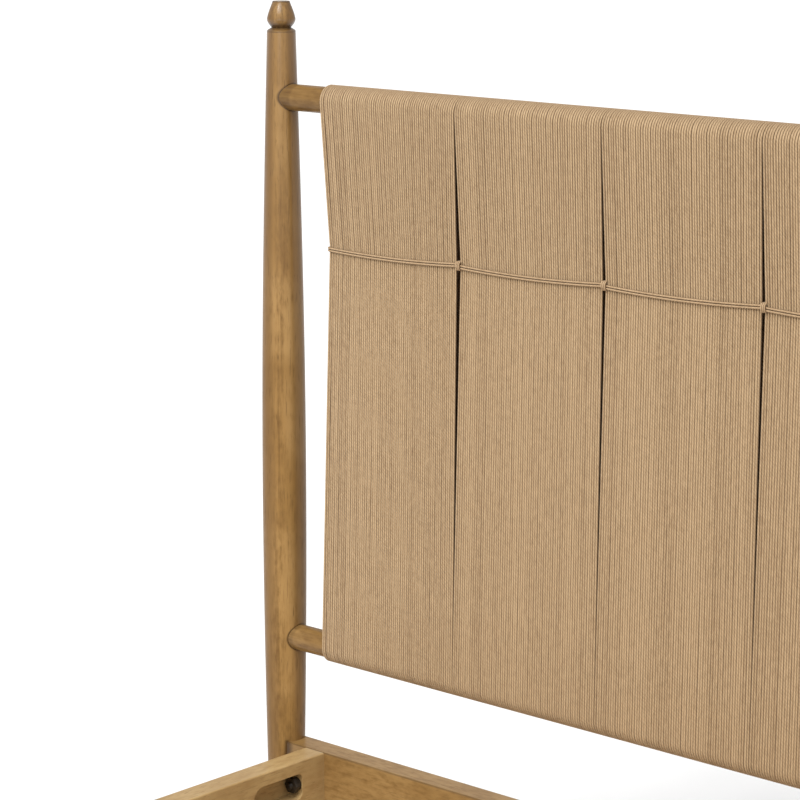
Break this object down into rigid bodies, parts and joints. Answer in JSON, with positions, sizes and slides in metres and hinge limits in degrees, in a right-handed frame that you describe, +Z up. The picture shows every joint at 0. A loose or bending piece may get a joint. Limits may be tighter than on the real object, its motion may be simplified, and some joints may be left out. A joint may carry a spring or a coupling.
{
  "type": "bed frame",
  "caption": "Double bed frame with tall turned head posts, a headboard wound with paper cord and tied at the waist, low foot posts, bolted rails and slats.",
  "frame": {"origin": "on the floor under the middle of the bed", "axes": "+Z up, +Y towards the head, +X to the right of someone who stands at the foot and looks at the headboard"},
  "size_m": [1.7714, 2.1441, 1.315],
  "materials": {
    "oak": "satin, honey brown with a darker glaze in the creases",
    "paper_cord": "matt twisted kraft paper cord",
    "slat_wood": "planed, unfinished",
    "zinc_steel": "zinc plated",
    "black_steel": "black oxide, satin",
    "nylon": "matt"
  },
  "bodies": {
    "frame": {"head_post_left": "oak", "head_post_right": "oak", "foot_post_left": "oak", "foot_post_right": "oak", "headboard_top_dowel": "oak", "headboard_bottom_dowel": "oak", "head_rail": "oak", "foot_rail": "oak", "side_rail_left": "oak", "side_rail_right": "oak", "locating_dowels": "oak", "centre_leg_1": "oak", "centre_leg_2": "oak", "centre_leg_3": "oak", "cord_bundle_1": "paper_cord", "cord_bundle_2": "paper_cord", "cord_bundle_3": "paper_cord", "cord_bundle_4": "paper_cord", "cord_bundle_5": "paper_cord", "cord_bundle_6": "paper_cord", "cord_bundle_7": "paper_cord", "tie_cord_upper": "paper_cord", "tie_cord_lower": "paper_cord", "tie_knots": "paper_cord", "slat_ledger_left": "slat_wood", "slat_ledger_right": "slat_wood", "centre_beam": "slat_wood", "slat_01": "slat_wood", "slat_02": "slat_wood", "slat_03": "slat_wood", "slat_04": "slat_wood", "slat_05": "slat_wood", "slat_06": "slat_wood", "slat_07": "slat_wood", "slat_08": "slat_wood", "slat_09": "slat_wood", "slat_10": "slat_wood", "slat_11": "slat_wood", "slat_12": "slat_wood", "slat_13": "slat_wood", "slat_14": "slat_wood", "rail_inserts": "zinc_steel", "ledger_screws": "zinc_steel", "beam_brackets": "zinc_steel", "bracket_screws": "zinc_steel", "leg_bolts": "zinc_steel", "leg_inserts": "zinc_steel", "slat_screws": "zinc_steel", "rail_studs": "black_steel", "rail_washers": "black_steel", "rail_nuts": "black_steel", "post_glides": "nylon"},
    "glide_1": {"leg_glide_1": "nylon"},
    "glide_2": {"leg_glide_2": "nylon"},
    "glide_3": {"leg_glide_3": "nylon"}
  },
  "joints": [
    {"name": "glide_1_screw", "type": "slide", "parent": "frame", "child": "glide_1", "axis": [0, 0, -1], "range_m": [0, 0.01]},
    {"name": "glide_2_screw", "type": "slide", "parent": "frame", "child": "glide_2", "axis": [0, 0, -1], "range_m": [0, 0.01]},
    {"name": "glide_3_screw", "type": "slide", "parent": "frame", "child": "glide_3", "axis": [0, 0, -1], "range_m": [0, 0.01]}
  ]
}
